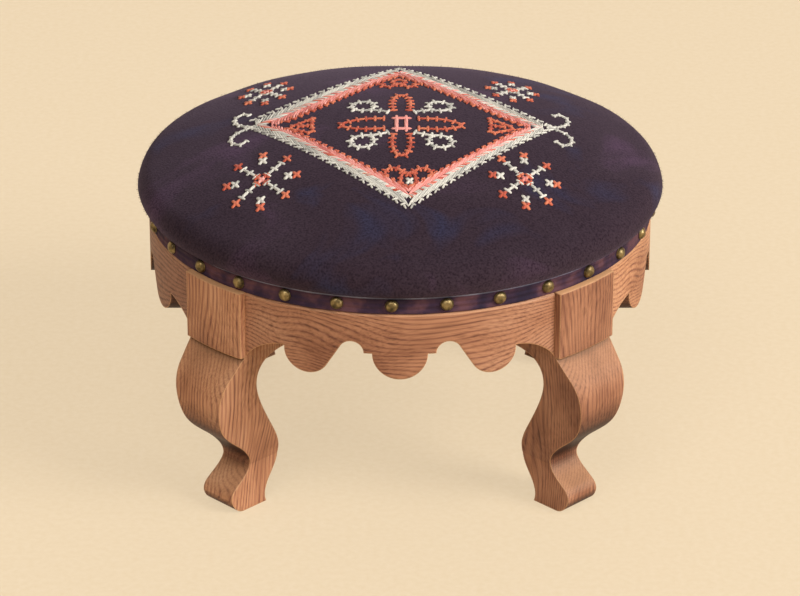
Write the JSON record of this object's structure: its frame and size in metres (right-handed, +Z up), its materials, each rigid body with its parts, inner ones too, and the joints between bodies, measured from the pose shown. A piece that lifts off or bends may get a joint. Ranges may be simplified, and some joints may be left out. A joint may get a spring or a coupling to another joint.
{
  "type": "footstool",
  "caption": "Low round footstool with sawn cabriole legs, scalloped curved rails and a domed, embroidered velvet top held by a band of brass nails.",
  "frame": {"origin": "on the floor, under the middle of the round seat", "axes": "+Z up, +X to the right of the pictured side, and the pictured front faces -Y"},
  "size_m": [0.393, 0.393, 0.2575],
  "materials": {
    "leg_wood": "waxed, grain upright",
    "rail_wood": "waxed, grain along the rail",
    "board_wood": "planed, bare",
    "hair": "loose curled hair",
    "velvet": "dark indigo cut pile",
    "thread_white": "wool yarn",
    "thread_pink": "wool yarn",
    "thread_red": "wool yarn",
    "band_leather": "matte, worn",
    "brass": "aged"
  },
  "bodies": {
    "root": {"leg_front_left": "leg_wood", "leg_front_right": "leg_wood", "leg_rear_left": "leg_wood", "leg_rear_right": "leg_wood", "rail_front": "rail_wood", "rail_right": "rail_wood", "rail_rear": "rail_wood", "rail_left": "rail_wood", "glue_block_front_right": "board_wood", "glue_block_front_left": "board_wood", "glue_block_right_right": "board_wood", "glue_block_right_left": "board_wood", "glue_block_rear_right": "board_wood", "glue_block_rear_left": "board_wood", "glue_block_left_right": "board_wood", "glue_block_left_left": "board_wood", "seat_board": "board_wood", "stuffing": "hair", "velvet_cover": "velvet", "nail_band": "band_leather", "band_nails": "brass"}
  },
  "joints": []
}
